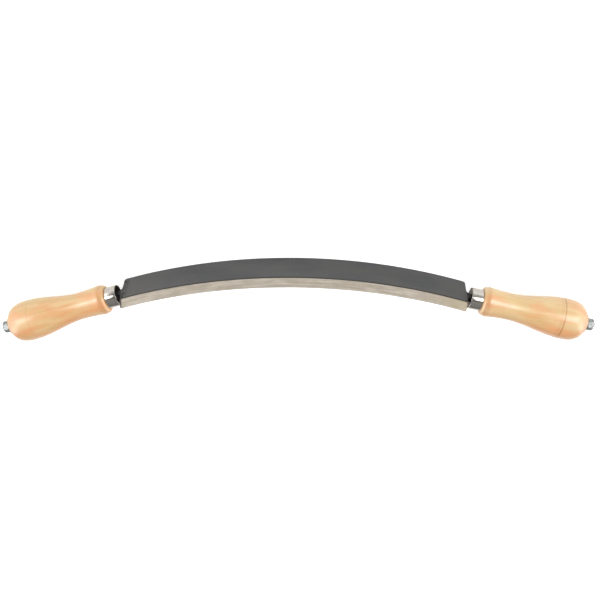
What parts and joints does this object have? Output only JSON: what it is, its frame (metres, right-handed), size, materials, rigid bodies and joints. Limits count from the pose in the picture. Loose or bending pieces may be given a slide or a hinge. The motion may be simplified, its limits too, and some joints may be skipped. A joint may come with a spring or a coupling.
{
  "type": "drawknife",
  "caption": "Bowed drawknife: flat steel blade bent into a shallow arc, a ground bevel on its outer face, and a turned wooden handle bolted on the tang at each end.",
  "frame": {"origin": "centre of the overall box's underside, on the floor the spine stands on", "axes": "+X along the knife's length, +Z from the spine to the cutting edge, -Y out of the blade's convex, bevelled face"},
  "size_m": [0.5788, 0.0822, 0.043],
  "materials": {
    "lacquered_steel": "dark satin lacquer over forged steel, bare ground metal on the bevel",
    "turned_beech": "turned beech under clear lacquer",
    "bright_steel": "bright steel tube with fine turning lines",
    "zinc_plate": "zinc plated"
  },
  "bodies": {
    "root": {"blade": "lacquered_steel", "handle_left": "turned_beech", "handle_right": "turned_beech", "ferrule_left": "bright_steel", "ferrule_right": "bright_steel", "washer_left": "zinc_plate", "washer_right": "zinc_plate", "nut_left": "zinc_plate", "nut_right": "zinc_plate"}
  },
  "joints": []
}
